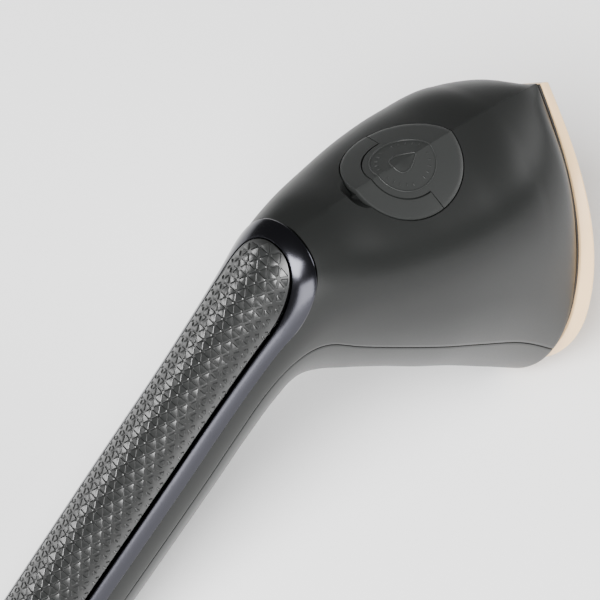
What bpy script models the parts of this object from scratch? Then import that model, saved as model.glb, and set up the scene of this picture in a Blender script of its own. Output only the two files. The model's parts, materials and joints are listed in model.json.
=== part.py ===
"""Hand-held garment steamer: head with steam plate, water tank and filler lid, and a straight handle.

Design frame (millimetres): X forward, normal to the steam plate; Z up along the plate; Y lateral.
The origin is the pointed tip of the shell's front edge.  A root empty then turns the whole steamer
so that it stands on its heel and on the flat of its end cap, on the plane z = 0.
"""
import math

import bmesh
import bpy
from mathutils import Matrix, Vector

MM = 0.001
WALL = 2.2                     # moulded shell thickness

# Handle: an oval bar on a straight axis
HANDLE_TOP = Vector((-96.7, 0.0, -22.6))
HANDLE_LEAN = math.radians(34.0)
HANDLE_DIR = Vector((-math.sin(HANDLE_LEAN), 0.0, -math.cos(HANDLE_LEAN)))
HANDLE_BACK = Vector((-math.cos(HANDLE_LEAN), 0.0, math.sin(HANDLE_LEAN)))
HANDLE_FRONT = -HANDLE_BACK
HANDLE_DEPTH = 20.5            # half depth, back to front
HANDLE_WIDTH = 17.5            # half width
HANDLE_END = 182.0             # where the shells stop along the handle's axis
CAP_LENGTH = 6.0
CAP_FLAT = 16.6                # distance from the axis to the cap's standing flat
HEEL_FLAT = (-1.5, -129.3)     # a point of the heel's standing flat (X, Z)

# Steam plate and its gasket
GASKET_BACK = 0.9
GASKET_FRONT = 1.7
PLATE_BACK = 2.0
PLATE_FRONT = 6.0
PLATE_FLARE = 1.08             # the plate's widest against the shell's front outline
HOLE_ROWS = ((-38, 1), (-52, 2), (-66, 2), (-80, 2), (-94, 1))    # height, holes on each side
HOLE_PITCH = 11.0
HOLE_RADIUS = 1.8

# Filler lid, in plan on the roof
LID_CENTRE_X = -59.5
LID_RADIUS_X = 21.0
LID_RADIUS_Y = 19.6
LID_DISC = 0.66                # disc radius as a share of the lid's radius
LID_SPLIT = math.radians(84.0)
LID_THICK = 2.2
LID_LIFT = 0.25                # how far the lid stands above the shell's surface
TAB_LIFT = 0.35
TAB_SWING_GAP = (0.012, 0.10)  # gap between disc and tab, above and below, as shares of the lid's radius
TAB_PIVOT = (-58.9, 0.0, -8.0)
PLUG_RADIUS = 8.2
NECK_RADIUS = 12.0

# Grip on the handle's back, in loft stations and section shares
GRIP_APEX = 5.95
GRIP_SHARE = 0.53
TRIM_APEX = 5.45
TRIM_SHARE = 0.74
GRIP_ROUND = 1.35              # length of the rounded top, in stations
GRIP_LIFT = 0.4
INSET_DEPTH = 2.4              # how deep the insert and its trim sit in the shell's window

# controls on the handle's front, by distance along the handle's axis
TRIGGER_STATIONS = (8.35, 9.75)
TRIGGER_HALF = 0.42            # half width, as a share of the section
BUTTON_ALONG = 102.0
BUTTON_RADIUS = 5.0
LENS_ALONG = 113.0
LENS_RADIUS = 1.9
SLOT_ALONG = 124.0
SLIDER_ALONG = 121.0
CASE_SCREWS_ALONG = (141.0, 168.0)
CASE_SCREW_HOLE = 3.4
GLAND_OUTER = 7.6
GLAND_INNER = 4.6

ROUND = 0.552                  # handle length of a quarter-ellipse Bezier


def handle_point(along, out=0.0, side=0.0):
    """Point on the handle: distance along its axis, towards its front, and sideways."""
    point = HANDLE_TOP + HANDLE_DIR * along + HANDLE_FRONT * out
    return Vector((point.x, side, point.z))


def rim(along, depth):
    """Top and bottom contour points of a handle section, as (X, Z) pairs."""
    top, bottom = handle_point(along, -depth), handle_point(along, depth)
    return (top.x, top.z), (bottom.x, bottom.z)


# One row per station: top point, bottom point, half width, depth of the widest line,
# roof slope in degrees, and the four Bezier handle shares of the section
STATIONS = [
    ((0, 0), (0, -131), 37.2, 81, 45, 0.806, 0.445, 0.48, 0.645),
    ((-20, 0.2), (-17, -121.3), 37.2, 61, 16, 0.86, 0.68, 0.52, 0.6),
    ((-42, -1.5), (-34, -110.8), 36.2, 49, 18, 0.90, 0.74, ROUND, ROUND),
    ((-62, -3.4), (-50, -101.7), 34.0, 43, 19, 0.90, 0.73, ROUND, ROUND),
    ((-82, -5.8), (-66, -92.6), 30.0, 37, 18, 0.84, 0.69, ROUND, ROUND),
    ((-100, -8.4), (-81, -85.5), 25.2, 32, 14, 0.75, 0.62, ROUND, ROUND),
    ((-114, -14), (-93, -79.8), 21.4, 28, 7, 0.65, 0.57, ROUND, ROUND),
    (rim(20, 20.5)[0], (-103.5, -76.4), 19.1, 23.5, 0, ROUND, ROUND, ROUND, ROUND),
    (rim(40, 20.5)[0], rim(57, 21.4)[1], 18.0, 21, 0, ROUND, ROUND, ROUND, ROUND),
    (rim(64, 20.5)[0], rim(72, 20.5)[1], 17.5, 20.5, 0, ROUND, ROUND, ROUND, ROUND),
    (*rim(90, 20.5), 17.5, 20.5, 0, ROUND, ROUND, ROUND, ROUND),
    (*rim(118, 20.3), 17.3, 20.3, 0, ROUND, ROUND, ROUND, ROUND),
    (*rim(150, 20.0), 17.0, 20.0, 0, ROUND, ROUND, ROUND, ROUND),
    (*rim(HANDLE_END, 19.5), 16.7, 19.5, 0, ROUND, ROUND, ROUND, ROUND),
]
LAST = len(STATIONS) - 1
# Section share of the line where the rear and front shells meet, station by station
PARTING = (1.33, 1.30, 1.30, 1.28, 1.26, 1.22, 1.12, 1.05, 1, 1, 1, 1, 1, 1)


def smooth(rows, tau):
    """Catmull-Rom value of a list of number rows at station tau."""
    i = min(int(tau), len(rows) - 2)
    f = tau - i
    b, c = rows[i], rows[i + 1]
    a = rows[i - 1] if i else [2 * p - q for p, q in zip(b, c)]
    d = rows[i + 2] if i + 2 < len(rows) else [2 * q - p for p, q in zip(b, c)]
    return [0.5 * (2 * q + (r - p) * f + (2 * p - 5 * q + 4 * r - s) * f * f
                   + (3 * q - p - 3 * r + s) * f ** 3) for p, q, r, s in zip(a, b, c, d)]


FLAT_STATIONS = [[*row[0], *row[1], *row[2:]] for row in STATIONS]


def section(tau, share):
    """Surface point at station tau; share runs 0 at the top, 1 at the widest, 2 at the bottom."""
    side = -1.0 if share < 0 or share > 2 else 1.0
    share = min(abs(share), 4.0 - abs(share))
    tx, tz, bx, bz, wide, deep, slope, k0, k1, k2, k3 = smooth(FLAT_STATIONS, tau)
    height = math.hypot(bx - tx, bz - tz)
    if share <= 1:
        slope = math.radians(slope)
        t = share
        cage = ((0, 0), (k0 * wide * math.cos(slope), k0 * wide * math.sin(slope)),
                (wide, deep * (1 - k1)), (wide, deep))
    else:
        rest = height - deep
        t = share - 1
        cage = ((wide, deep), (wide, deep + k2 * rest), (k3 * wide, height), (0, height))
    weight = ((1 - t) ** 3, 3 * t * (1 - t) ** 2, 3 * t * t * (1 - t), t ** 3)
    out = sum(w * p[0] for w, p in zip(weight, cage))
    down = sum(w * p[1] for w, p in zip(weight, cage)) / height
    return Vector((tx + (bx - tx) * down, -side * out, tz + (bz - tz) * down))


def skin(tau, share, lift=0.0):
    """Surface point raised by lift along the outward normal."""
    point = section(tau, share)
    if lift:
        step = 0.02
        low, high = max(tau - step, 0), min(tau + step, LAST)
        along = section(high, share) - section(low, share)
        probe = share if abs(share) > step else math.copysign(step, share)
        around = section(tau, probe + step) - section(tau, probe - step)
        point += along.cross(around).normalized() * lift
    return point


def roof(x, y, lift=0.0):
    """Surface point of the roof above plan position (x, y)."""
    tau, share = 3.0, 0.3
    for _ in range(14):
        here = section(tau, share)
        share += (abs(y) + here.y) / -(section(tau, share + 0.01).y - here.y) * 0.01
        share = min(max(share, 0.0), 1.0)
        here = section(tau, share)
        tau += (x - here.x) / (section(tau + 0.01, share).x - here.x) * 0.01
    return skin(tau, -share if y > 0 else share, lift)


def parting_share(tau):
    """Section share of the parting line at station tau."""
    return smooth([[p] for p in PARTING], tau)[0]


# ---------------------------------------------------------------- scene helpers

def clear_scene():
    for obj in list(bpy.data.objects):
        bpy.data.objects.remove(obj, do_unlink=True)


def collection(name):
    made = bpy.data.collections.new(name)
    bpy.context.scene.collection.children.link(made)
    return made


def finish_material(name, colour, rough, metal=0.0):
    mat = bpy.data.materials.new(name)
    mat.use_nodes = True
    shader = mat.node_tree.nodes["Principled BSDF"]
    shader.inputs["Base Color"].default_value = (*colour, 1.0)
    shader.inputs["Roughness"].default_value = rough
    shader.inputs["Metallic"].default_value = metal
    return mat


class Maker:
    """Makes the parts in the design frame and hangs them on the root empty."""

    def __init__(self):
        self.parts = collection("garment_steamer")
        self.cutters = collection("cutters")
        self.root = bpy.data.objects.new("stance", None)
        self.parts.objects.link(self.root)
        self.kit = {
            "shell": ((0.030, 0.031, 0.030), 0.38, 0.0), "chrome": ((0.35, 0.35, 0.37), 0.15, 1.0),
            "grip": ((0.045, 0.045, 0.045), 0.6, 0.0), "gold": ((0.80, 0.66, 0.46), 0.35, 0.6),
            "rubber": ((0.02, 0.018, 0.015), 0.8, 0.0), "lid": ((0.09, 0.09, 0.088), 0.4, 0.0),
            "clear": ((0.5, 0.6, 0.65), 0.2, 0.0), "cast": ((0.55, 0.55, 0.56), 0.5, 0.9),
            "steel": ((0.6, 0.6, 0.62), 0.3, 1.0), "board": ((0.03, 0.18, 0.08), 0.5, 0.0),
            "white": ((0.8, 0.8, 0.78), 0.5, 0.0), "brass": ((0.7, 0.5, 0.25), 0.35, 1.0),
        }

    def add(self, name, bm, kind, origin=(0, 0, 0), cutter=False):
        """Turn a bmesh in design millimetres into an object whose origin is at origin."""
        origin = Vector(origin)
        bmesh.ops.translate(bm, verts=bm.verts, vec=-origin)
        bmesh.ops.scale(bm, verts=bm.verts, vec=(MM, MM, MM))
        mesh = bpy.data.meshes.new(name)
        bm.to_mesh(mesh)
        bm.free()
        obj = bpy.data.objects.new(name, mesh)
        obj.location = origin * MM
        obj.parent = self.root
        if cutter:
            obj.hide_render = True
            obj.display_type = "WIRE"
            self.cutters.objects.link(obj)
            return obj
        mesh.materials.append(finish_material(name + "_finish", *self.kit[kind]))
        mesh.shade_smooth()
        mesh.set_sharp_from_angle(angle=math.radians(30))
        self.parts.objects.link(obj)
        return obj

    def cut(self, obj, cutter, mode="DIFFERENCE"):
        mod = obj.modifiers.new(cutter.name, "BOOLEAN")
        mod.object = cutter
        mod.operation = mode

    def wall(self, obj, thick):
        mod = obj.modifiers.new("wall", "SOLIDIFY")
        mod.thickness = thick * MM
        mod.offset = -1
        mod.use_even_offset = True

    def soften(self, obj, width, segments=2):
        mod = obj.modifiers.new("round_edges", "BEVEL")
        mod.width = width * MM
        mod.segments = segments
        mod.limit_method = "ANGLE"


def sheet(rows, closed=False):
    """Open surface through rows of points, as a bmesh."""
    bm = bmesh.new()
    grid = [[bm.verts.new(p) for p in row] for row in rows]
    for low, high in zip(grid, grid[1:]):
        count = len(low) if closed else len(low) - 1
        for j in range(count):
            k = (j + 1) % len(low)
            bm.faces.new((low[j], high[j], high[k], low[k]))
    return bm


def face_out(bm):
    bmesh.ops.recalc_face_normals(bm, faces=bm.faces)
    return bm


def solid_loft(rings):
    """Closed solid through closed rings of points."""
    bm = sheet(rings, closed=True)
    bm.verts.ensure_lookup_table()
    count = len(rings[0])
    bm.faces.new(bm.verts[:count])
    bm.faces.new(list(reversed(bm.verts[-count:])))
    return face_out(bm)


def thick_patch(rows_top, rows_bottom, closed=False):
    """Solid between two matching grids of points."""
    bm = sheet(rows_top, closed)
    bm.verts.ensure_lookup_table()
    top = [v for v in bm.verts]
    low = [bm.verts.new(p) for row in rows_bottom for p in row]
    for face in list(bm.faces):
        bm.faces.new([low[top.index(v)] for v in reversed(face.verts)])
    edge = [e for e in bm.edges if e.is_boundary and e.verts[0] in set(top)]
    place = {v: i for i, v in enumerate(top)}
    for e in edge:
        a, b = (place[v] for v in e.verts)
        bm.faces.new((top[a], top[b], low[b], low[a]))
    return face_out(bm)


def axis_matrix(start, end):
    """Place and turn of a shape whose own Z runs from start to end."""
    return Matrix.Translation((start + end) / 2) @ (end - start).to_track_quat("Z", "Y").to_matrix().to_4x4()


def rod(start, end, radius, radius_end=None, segments=24):
    """Round bar or cone between two points."""
    start, end = Vector(start), Vector(end)
    bm = bmesh.new()
    bmesh.ops.create_cone(bm, cap_ends=True, segments=segments, radius1=radius,
                          radius2=radius if radius_end is None else radius_end,
                          depth=(end - start).length, matrix=axis_matrix(start, end))
    return bm


def box(centre, size, turn=0.0):
    bm = bmesh.new()
    place = Matrix.Translation(Vector(centre)) @ Matrix.Rotation(turn, 4, "Y")
    bmesh.ops.create_cube(bm, size=1.0, matrix=place @ Matrix.Diagonal((*size, 1.0)))
    return bm


def handle_box(along, side, out, size):
    """Box in the handle: its centre and its size along, across and in depth."""
    return box(handle_point(along, out, side), (size[2], size[1], size[0]), HANDLE_LEAN)


def ring_solid(start, end, outer, inner, segments=32):
    """Tube wall between two points, square in section."""
    start, end = Vector(start), Vector(end)
    turn = axis_matrix(start, end)
    half = (end - start).length / 2
    angles = [2 * math.pi * i / segments for i in range(segments)]
    loops = [(outer, -half), (outer, half), (inner, half), (inner, -half), (outer, -half)]
    bm = bmesh.new()
    rings = [[bm.verts.new(turn @ Vector((r * math.cos(a), r * math.sin(a), z))) for a in angles]
             for r, z in loops[:4]]
    for k in range(4):
        low, high = rings[k], rings[(k + 1) % 4]
        for j in range(segments):
            m = (j + 1) % segments
            bm.faces.new((low[j], low[m], high[m], high[j]))
    return face_out(bm)


def tube_mesh(points, radius, resolution=2):
    """Closed tube along points: a bevelled curve turned into a welded bmesh."""
    curve = bpy.data.curves.new("run", "CURVE")
    curve.dimensions = "3D"
    curve.bevel_depth = radius
    curve.bevel_resolution = resolution
    curve.use_fill_caps = True
    line = curve.splines.new("POLY")
    line.points.add(len(points) - 1)
    for spot, p in zip(line.points, points):
        spot.co = (*p, 1.0)
    obj = bpy.data.objects.new("run", curve)
    bpy.context.scene.collection.objects.link(obj)
    graph = bpy.context.evaluated_depsgraph_get()
    mesh = bpy.data.meshes.new_from_object(obj.evaluated_get(graph))
    bm = bmesh.new()
    bm.from_mesh(mesh)
    bmesh.ops.remove_doubles(bm, verts=bm.verts, dist=0.001)
    bpy.data.objects.remove(obj, do_unlink=True)
    bpy.data.meshes.remove(mesh)
    return face_out(bm)


def bend(controls, count):
    """Points on a quadratic or cubic Bezier through hand-placed controls."""
    out = []
    for i in range(count):
        t = i / (count - 1)
        row = [Vector(c) for c in controls]
        while len(row) > 1:
            row = [a.lerp(b, t) for a, b in zip(row, row[1:])]
        out.append(row[0])
    return out


def coil(start, end, radius, turns, per_turn=8):
    """Points of a compression spring between two points."""
    turn = axis_matrix(Vector(start), Vector(end))
    length = (Vector(end) - Vector(start)).length
    count = int(turns * per_turn)
    return [turn @ Vector((radius * math.cos(2 * math.pi * i / per_turn),
                           radius * math.sin(2 * math.pi * i / per_turn),
                           length * (i / count - 0.5))) for i in range(count + 1)]


def station_steps():
    """Loft stations, closer together on the head than on the handle."""
    head = [i / 4 for i in range(4 * 8)]
    return head + [8 + i / 2 for i in range(2 * (LAST - 8) + 1)]


# ---------------------------------------------------------------- shells

def grip_width(tau, apex, share):
    """Section share of a grip outline that is round at its top."""
    run = (tau - apex) / GRIP_ROUND
    return share * math.sqrt(max(1 - max(1 - run, 0) ** 2, 0))


def grip_block(apex, share, high, low, past=0.0, columns=10, steps=10):
    """Solid that follows the handle's back inside a round-topped outline, to past the shell's end."""
    taus = [apex + GRIP_ROUND * (1 - math.cos(math.pi / 2 * i / steps)) for i in range(1, steps + 1)]
    run = int(2 * (LAST - taus[-1]))
    taus += [taus[-1] + (LAST - taus[-1]) * i / run for i in range(1, run + 1)]
    tops, bottoms = [], []
    for tau in taus:
        wide = grip_width(tau, apex, share)
        shares = [wide * (2 * j / columns - 1) for j in range(columns + 1)]
        tops.append([skin(tau, s, high) for s in shares])
        bottoms.append([skin(tau, s, low) for s in shares])
    if past:
        tops.append([p + HANDLE_DIR * past for p in tops[-1]])
        bottoms.append([p + HANDLE_DIR * past for p in bottoms[-1]])
    return thick_patch(tops, bottoms)


def lid_plan(angle, radius):
    """Plan position on the lid: angle from forward, radius as a share of the lid's radius."""
    return (LID_CENTRE_X + LID_RADIUS_X * radius * math.cos(angle), LID_RADIUS_Y * radius * math.sin(angle))


def lid_block(radii, radii_below, angles, high, low, closed):
    """Solid ring sector on the roof between two lifts, with its own radii above and below."""
    tops = [[roof(*lid_plan(a, r), high) for a in angles] for r in radii]
    bottoms = [[roof(*lid_plan(a, r), low) for a in angles] for r in radii_below]
    return thick_patch(tops, bottoms, closed)


def full_turn(count):
    """Angles round a circle, kept off the ridge line."""
    return [2 * math.pi * i / count + 0.02 for i in range(count)]


def make_shells(maker):
    """Rear and front moulded shells, with the grip window and the lid opening."""
    rear_rows, front_rows = [], []
    seam = 0.006
    for tau in station_steps():
        edge = parting_share(tau)
        top, low = edge - seam, edge + seam
        rear_rows.append([section(tau, top * j / 12) for j in range(-12, 13)])
        front_rows.append([section(tau, low + (4 - 2 * low) * j / 16) for j in range(17)])
    rear = maker.add("rear_shell", sheet(rear_rows), "shell")
    maker.wall(rear, WALL)
    window = maker.add("grip_window", grip_block(TRIM_APEX - 0.05, TRIM_SHARE + 0.02, 4, -5, past=5),
                       None, cutter=True)
    maker.cut(rear, window)
    rims = [[(*lid_plan(a, 1.018), height) for a in full_turn(48)] for height in (20, -30)]
    maker.cut(rear, maker.add("lid_opening", solid_loft(rims), None, cutter=True))
    front = maker.add("front_shell", sheet(front_rows), "shell")
    maker.wall(front, WALL)
    return rear, front


def standing_cutter(maker, angle, floor):
    """Large block whose top is the plane that the steamer stands on."""
    block = box((0, 0, 0), (600, 200, 60))
    turn = Matrix.Rotation(-angle, 4, "Y") @ Matrix.Translation((-90, 0, floor - 30))
    bmesh.ops.transform(block, matrix=turn, verts=block.verts)
    return maker.add("standing_plane", block, None, cutter=True)


# ---------------------------------------------------------------- outside pieces

def outline(x, wide, top, bottom, count=20):
    """Closed ring at depth x: the shell's front outline, widened and fitted between two heights."""
    shares = [2 * j / count for j in range(count)] + [-2 + 2 * j / count for j in range(count)]
    height = -STATIONS[0][1][1]
    points = [section(0, share) for share in shares]
    return [Vector((x, p.y * wide, top + p.z * (top - bottom) / height)) for p in points]


def make_plate(maker):
    """Steam plate with its holes, and the gasket behind it."""
    maker.add("plate_gasket", solid_loft_ring(outline(GASKET_BACK, 0.975, -1.2, -127.7),
                                              outline(GASKET_FRONT, 0.975, -1.4, -127.5),
                                              outline(GASKET_FRONT, 0.86, -10, -121),
                                              outline(GASKET_BACK, 0.86, -10, -121)), "rubber")
    plate = maker.add("steam_plate", solid_loft([outline(PLATE_BACK, 0.985, -1.6, -127.3),
                                                 outline(PLATE_BACK + 0.6, 1.0, -1.3, -127.2),
                                                 outline(PLATE_FRONT - 1.0, PLATE_FLARE, -2.4, -126.4),
                                                 outline(PLATE_FRONT, PLATE_FLARE * 0.985, -3.4, -125.6)]),
                      "gold")
    holes = bmesh.new()
    for row, half in HOLE_ROWS:
        for j in range(-half, half + 1):
            y = j * HOLE_PITCH
            pin = rod((PLATE_BACK - 3, y, row), (PLATE_FRONT + 3, y, row), HOLE_RADIUS, segments=10)
            merge_into(holes, pin)
    maker.cut(plate, maker.add("steam_holes", holes, None, cutter=True))


def merge_into(target, source):
    """Copy a bmesh into another one."""
    spots = {v: target.verts.new(v.co) for v in source.verts}
    for face in source.faces:
        target.faces.new([spots[v] for v in face.verts])
    source.free()


def solid_loft_ring(*rings):
    """Closed band through rings that come back to the first one."""
    bm = bmesh.new()
    grid = [[bm.verts.new(p) for p in ring] for ring in rings]
    for low, high in zip(grid, grid[1:] + grid[:1]):
        for j in range(len(low)):
            k = (j + 1) % len(low)
            bm.faces.new((low[j], low[k], high[k], high[j]))
    return face_out(bm)


def make_grip(maker):
    """Grip insert and the U-shaped trim round it."""
    maker.add("grip_insert", grip_block(GRIP_APEX, GRIP_SHARE, GRIP_LIFT, -INSET_DEPTH), "grip")
    count = 16

    def u_curve(apex, share):
        centre = apex + GRIP_ROUND
        run = int(3 * (LAST - centre))
        side = [(LAST + (centre - LAST) * i / run, share) for i in range(run)]
        arc = [(centre - GRIP_ROUND * math.sin(math.pi * i / count), share * math.cos(math.pi * i / count))
               for i in range(count + 1)]
        return side + arc + [(tau, -share) for tau, share in reversed(side)]

    outer, inner = u_curve(TRIM_APEX, TRIM_SHARE), u_curve(GRIP_APEX - 0.03, GRIP_SHARE + 0.012)
    lifts = ((0.0, 0.15), (0.3, 0.9), (0.7, 0.9), (1.0, 0.3))
    tops, lows = [], []
    for mix, lift in lifts:
        line = [(a[0] + (b[0] - a[0]) * mix, a[1] + (b[1] - a[1]) * mix) for a, b in zip(outer, inner)]
        tops.append([skin(t, s, lift) for t, s in line])
        lows.append([skin(t, s, -INSET_DEPTH) for t, s in line])
    maker.add("grip_trim", thick_patch(tops, lows), "chrome")


def make_lid(maker):
    """Filler lid with its plug and seal, the pull tab behind it and the tray below."""
    lid = lid_mesh(LID_DISC - 0.008)
    pivot = roof(LID_CENTRE_X + LID_RADIUS_X - 0.2, 0, -0.1)
    maker.add("filler_lid", lid, "lid", origin=pivot)
    split = LID_SPLIT + 0.02
    back_angles = [split + (2 * math.pi - 2 * split) * i / 24 for i in range(25)]
    above, below = (LID_DISC + gap for gap in TAB_SWING_GAP)
    tab = lid_block((above, 0.83, 0.995), (below, 0.86, 0.995), back_angles, TAB_LIFT, TAB_LIFT - LID_THICK,
                    False)
    maker.add("lid_pull_tab", tab, "lid", origin=TAB_PIVOT)
    plug = rod((LID_CENTRE_X, 0, -17.5), (LID_CENTRE_X, 0, -11.2), PLUG_RADIUS)
    maker.add("lid_plug", plug, "rubber", origin=pivot)
    ring = ring_solid((LID_CENTRE_X, 0, -15.3), (LID_CENTRE_X, 0, -13.7), PLUG_RADIUS + 1.7,
                      PLUG_RADIUS + 0.3)
    maker.add("lid_seal", ring, "rubber", origin=pivot)
    radii = (0.71, 0.88, 1.07)
    maker.add("filler_tray", lid_block(radii, radii, full_turn(48), -3.1, -4.5, True), "shell")


def lid_mesh(disc):
    """Lid disc with its forward ear, one solid."""
    radii = (0.0, 0.22, 0.44, 0.56, disc)
    count = 48
    bm = bmesh.new()
    grids = []
    for lift in (LID_LIFT, LID_LIFT - LID_THICK):
        centre = bm.verts.new(roof(*lid_plan(0, 0), lift))
        rings = [[bm.verts.new(roof(*lid_plan(2 * math.pi * i / count, r), lift)) for i in range(count)]
                 for r in radii[1:]]
        span = int(LID_SPLIT / (2 * math.pi / count))
        ears = [[bm.verts.new(roof(*lid_plan(2 * math.pi * i / count, r), lift))
                 for i in range(-span, span + 1)] for r in (0.83, 0.995)]
        grids.append((centre, rings, ears))
        flip = lift < 0

        def face(*verts):
            bm.faces.new(tuple(reversed(verts)) if flip else verts)

        for i in range(count):
            face(centre, rings[0][i], rings[0][(i + 1) % count])
        for low, high in zip(rings, rings[1:]):
            for i in range(count):
                k = (i + 1) % count
                face(low[i], high[i], high[k], low[k])
        join = [rings[-1][i % count] for i in range(-span, span + 1)]
        for low, high in zip([join] + ears, ears):
            for i in range(len(low) - 1):
                face(low[i], high[i], high[i + 1], low[i + 1])
    top = [grids[0][0]] + [v for r in grids[0][1] for v in r] + [v for r in grids[0][2] for v in r]
    low = [grids[1][0]] + [v for r in grids[1][1] for v in r] + [v for r in grids[1][2] for v in r]
    twin = dict(zip(top, low))
    for edge in [e for e in bm.edges if e.is_boundary and e.verts[0] in twin and e.verts[1] in twin]:
        a, b = edge.verts
        bm.faces.new((a, b, twin[b], twin[a]))
    return face_out(bm)


def make_end_cap(maker):
    """End cap of the handle and the gland in it."""
    rings = []
    for along, scale in ((0.3, 1.0), (CAP_LENGTH * 0.6, 0.985), (CAP_LENGTH, 0.88)):
        ring = []
        for j in range(40):
            p = section(LAST, 4.0 * j / 40)
            flat = p - handle_point(HANDLE_END)
            ring.append(handle_point(HANDLE_END) + flat * scale + HANDLE_DIR * along)
        rings.append(ring)
    cap = maker.add("end_cap", solid_loft(rings), "shell")
    bore = rod(handle_point(HANDLE_END - 5), handle_point(HANDLE_END + 20), GLAND_OUTER + 0.4, segments=32)
    maker.cut(cap, maker.add("gland_bore", bore, None, cutter=True))
    gland = ring_solid(handle_point(HANDLE_END - 2), handle_point(HANDLE_END + CAP_LENGTH + 3),
                       GLAND_OUTER, GLAND_INNER)
    maker.add("cord_gland", gland, "rubber")
    return cap


def front_hole(maker, front, name, along, radius):
    """Round hole through the front shell, square to the handle."""
    tool = rod(handle_point(along, 12), handle_point(along, 30), radius, segments=24)
    maker.cut(front, maker.add(name, tool, None, cutter=True))


def make_controls(maker, front):
    """Trigger, power button, lock slider, indicator and the case screws on the handle's front."""
    top_tau, low_tau = TRIGGER_STATIONS

    def pad(grow, high, low):
        rows_top, rows_low = [], []
        middle, reach = (top_tau + low_tau) / 2, (low_tau - top_tau) / 2 + grow / 22
        for i in range(13):
            angle = math.pi * (0.06 + 0.88 * i / 12)
            wide = (TRIGGER_HALF + grow / 22) * math.sin(angle) ** 0.6
            shares = [2 - wide * (2 * j / 8 - 1) for j in range(9)]
            tau = middle - reach * math.cos(angle)
            rows_top.append([lifted(tau, s, high) for s in shares])
            rows_low.append([lifted(tau, s, low) for s in shares])
        return thick_patch(rows_top, rows_low)

    window = maker.add("trigger_window", pad(0.5, 4, -6), None, cutter=True)
    maker.cut(front, window)
    pivot = section(top_tau, 2) + HANDLE_BACK * 3.0
    maker.add("steam_trigger", pad(0, 1.0, -3.4), "lid", origin=pivot)
    spring = coil(handle_point(79, 10.6), handle_point(79, 16.2), 2.2, 4)
    maker.add("trigger_spring", tube_mesh(spring, 0.35, 1), "steel")
    front_hole(maker, front, "power_hole", BUTTON_ALONG, BUTTON_RADIUS + 0.3)
    button = rod(handle_point(BUTTON_ALONG, 13.5), handle_point(BUTTON_ALONG, 21.4), BUTTON_RADIUS,
                 BUTTON_RADIUS - 0.2)
    maker.add("power_button", button, "lid", origin=handle_point(BUTTON_ALONG, 13.5))
    spring = coil(handle_point(BUTTON_ALONG, 7.0), handle_point(BUTTON_ALONG, 12.8), 2.0, 4)
    maker.add("button_spring", tube_mesh(spring, 0.35, 1), "steel")
    front_hole(maker, front, "lens_hole", LENS_ALONG, LENS_RADIUS + 0.3)
    lens = rod(handle_point(LENS_ALONG, 15), handle_point(LENS_ALONG, 20.5), LENS_RADIUS, segments=16)
    maker.add("indicator_lens", lens, "clear")
    slot = handle_box(SLOT_ALONG, 0, 21, (17, 7, 14))
    maker.cut(front, maker.add("slider_slot", slot, None, cutter=True))
    slider = maker.add("lock_slider", handle_box(SLIDER_ALONG, 0, 18.6, (10, 6.2, 5)), "lid",
                       origin=handle_point(SLIDER_ALONG, 18.6))
    maker.soften(slider, 0.8)
    for index, along in enumerate(CASE_SCREWS_ALONG):
        front_hole(maker, front, f"screw_hole_{index}", along, CASE_SCREW_HOLE)
        body = screw(handle_point(along, 18.5), handle_point(along, 5))
        maker.add(f"case_screw_{index + 1}", body, "steel")


def lifted(tau, share, lift):
    """Surface point near the bottom line, raised along the handle's front direction."""
    return section(tau, share) + HANDLE_FRONT * lift


def screw(head, tip, head_radius=3.0, shank=1.4):
    """Pan-head screw as one turned solid."""
    head, tip = Vector(head), Vector(tip)
    turn = axis_matrix(tip, head)
    half = (head - tip).length / 2
    count = 16
    profile = ((head_radius * 0.75, half), (head_radius, half - 0.8), (head_radius, half - 2),
               (shank, half - 2), (shank, 1 - half), (0.3, -half))
    rings = [[turn @ Vector((r * math.cos(2 * math.pi * i / count), r * math.sin(2 * math.pi * i / count), z))
              for i in range(count)] for r, z in profile]
    return solid_loft(rings)


# ---------------------------------------------------------------- inside pieces

def make_boiler(maker):
    """Cast boiler behind the plate, with its element, thermostat, fuse, shield and screws."""
    block = maker.add("boiler_block", solid_loft([outline(GASKET_FRONT, 0.8, -14, -117),
                                                  outline(-6.0, 0.8, -14, -114),
                                                  outline(-12.0, 0.68, -22, -108)]), "cast")
    pocket = solid_loft([outline(-4.0, 0.66, -24, -108), outline(6.0, 0.66, -24, -108)])
    maker.cut(block, maker.add("steam_pocket", pocket, None, cutter=True))
    leg, bend_z = 15.0, -52.0
    loop = [Vector((-15.6, -leg, -100))]
    loop += [Vector((-15.6, -leg * math.cos(math.pi * i / 12), bend_z + leg * math.sin(math.pi * i / 12)))
             for i in range(13)]
    loop.append(Vector((-15.6, leg, -100)))
    maker.add("heating_element", tube_mesh(loop, 3.2), "steel")
    maker.add("thermostat", rod((-20.5, 0, -52), (-12.4, 0, -52), 7.5), "steel")
    maker.add("thermal_fuse", rod((-15.0, -8, -96), (-15.0, 8, -96), 2.2, segments=16), "white")
    for index, (y, z) in enumerate(((-9, -84), (9, -84), (0, -30))):
        maker.add(f"boiler_stud_{index + 1}", screw((-12.4, y, z), (-20, y, z), 2.6, 1.4), "steel")
    shield = maker.add("heat_shield", solid_loft([outline(-23.0, 0.7, -18, -108),
                                                    outline(-24.0, 0.7, -18, -108)]), "cast")
    pass_hole = rod((-30, 0, -76), (-18, 0, -76), 5.0)
    maker.cut(shield, maker.add("shield_hole", pass_hole, None, cutter=True))


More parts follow.
